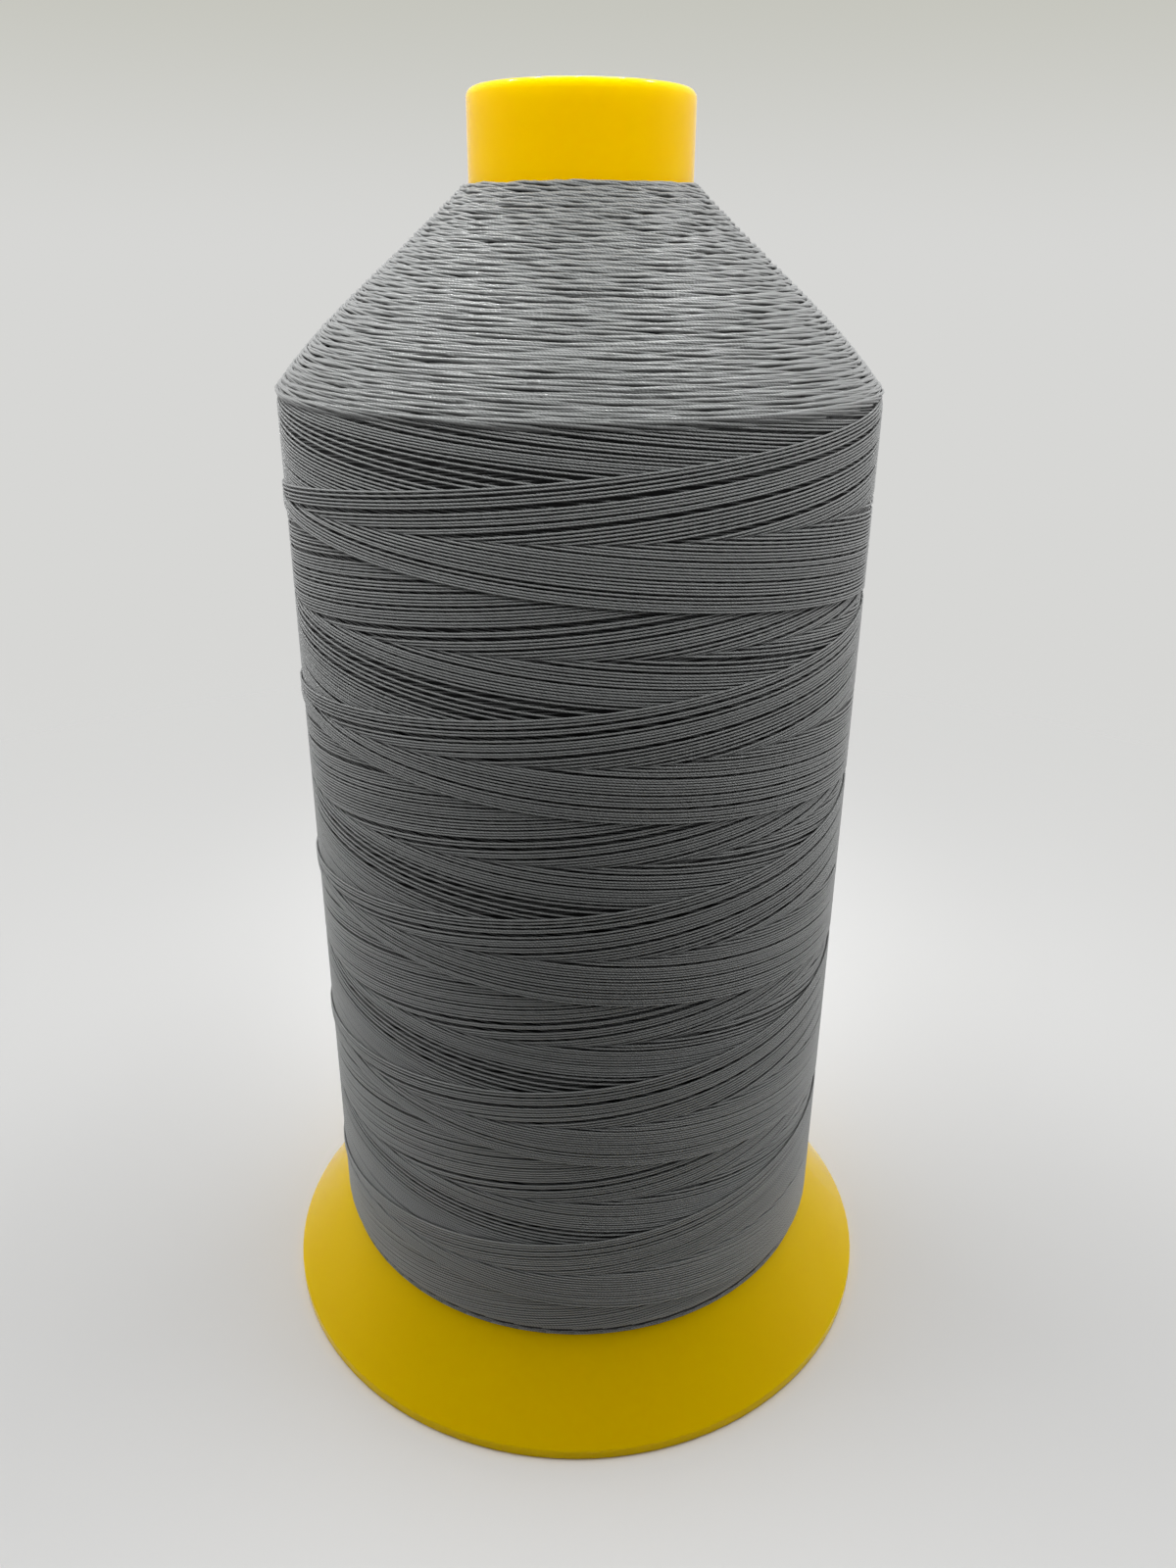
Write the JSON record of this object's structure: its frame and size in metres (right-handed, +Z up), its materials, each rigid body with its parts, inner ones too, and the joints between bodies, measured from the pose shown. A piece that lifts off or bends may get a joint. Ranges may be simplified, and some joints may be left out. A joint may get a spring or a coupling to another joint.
{
  "type": "spool of thread",
  "caption": "Large sewing thread spool: a moulded tube with a flared hollow base, cross-wound with heavy thread into a straight-sided package with a cone shoulder.",
  "frame": {"origin": "centre of the base, on the plane the spool stands on", "axes": "+Z up along the tube's axis; -Y faces the viewer, +X to the viewer's right"},
  "size_m": [0.1014, 0.1014, 0.187],
  "materials": {
    "spool_plastic": "glossy moulded plastic",
    "thread": "twisted bonded thread with a slight sheen"
  },
  "bodies": {
    "root": {"spool": "spool_plastic", "wound_thread": "thread", "outer_turns": "thread"}
  },
  "joints": []
}
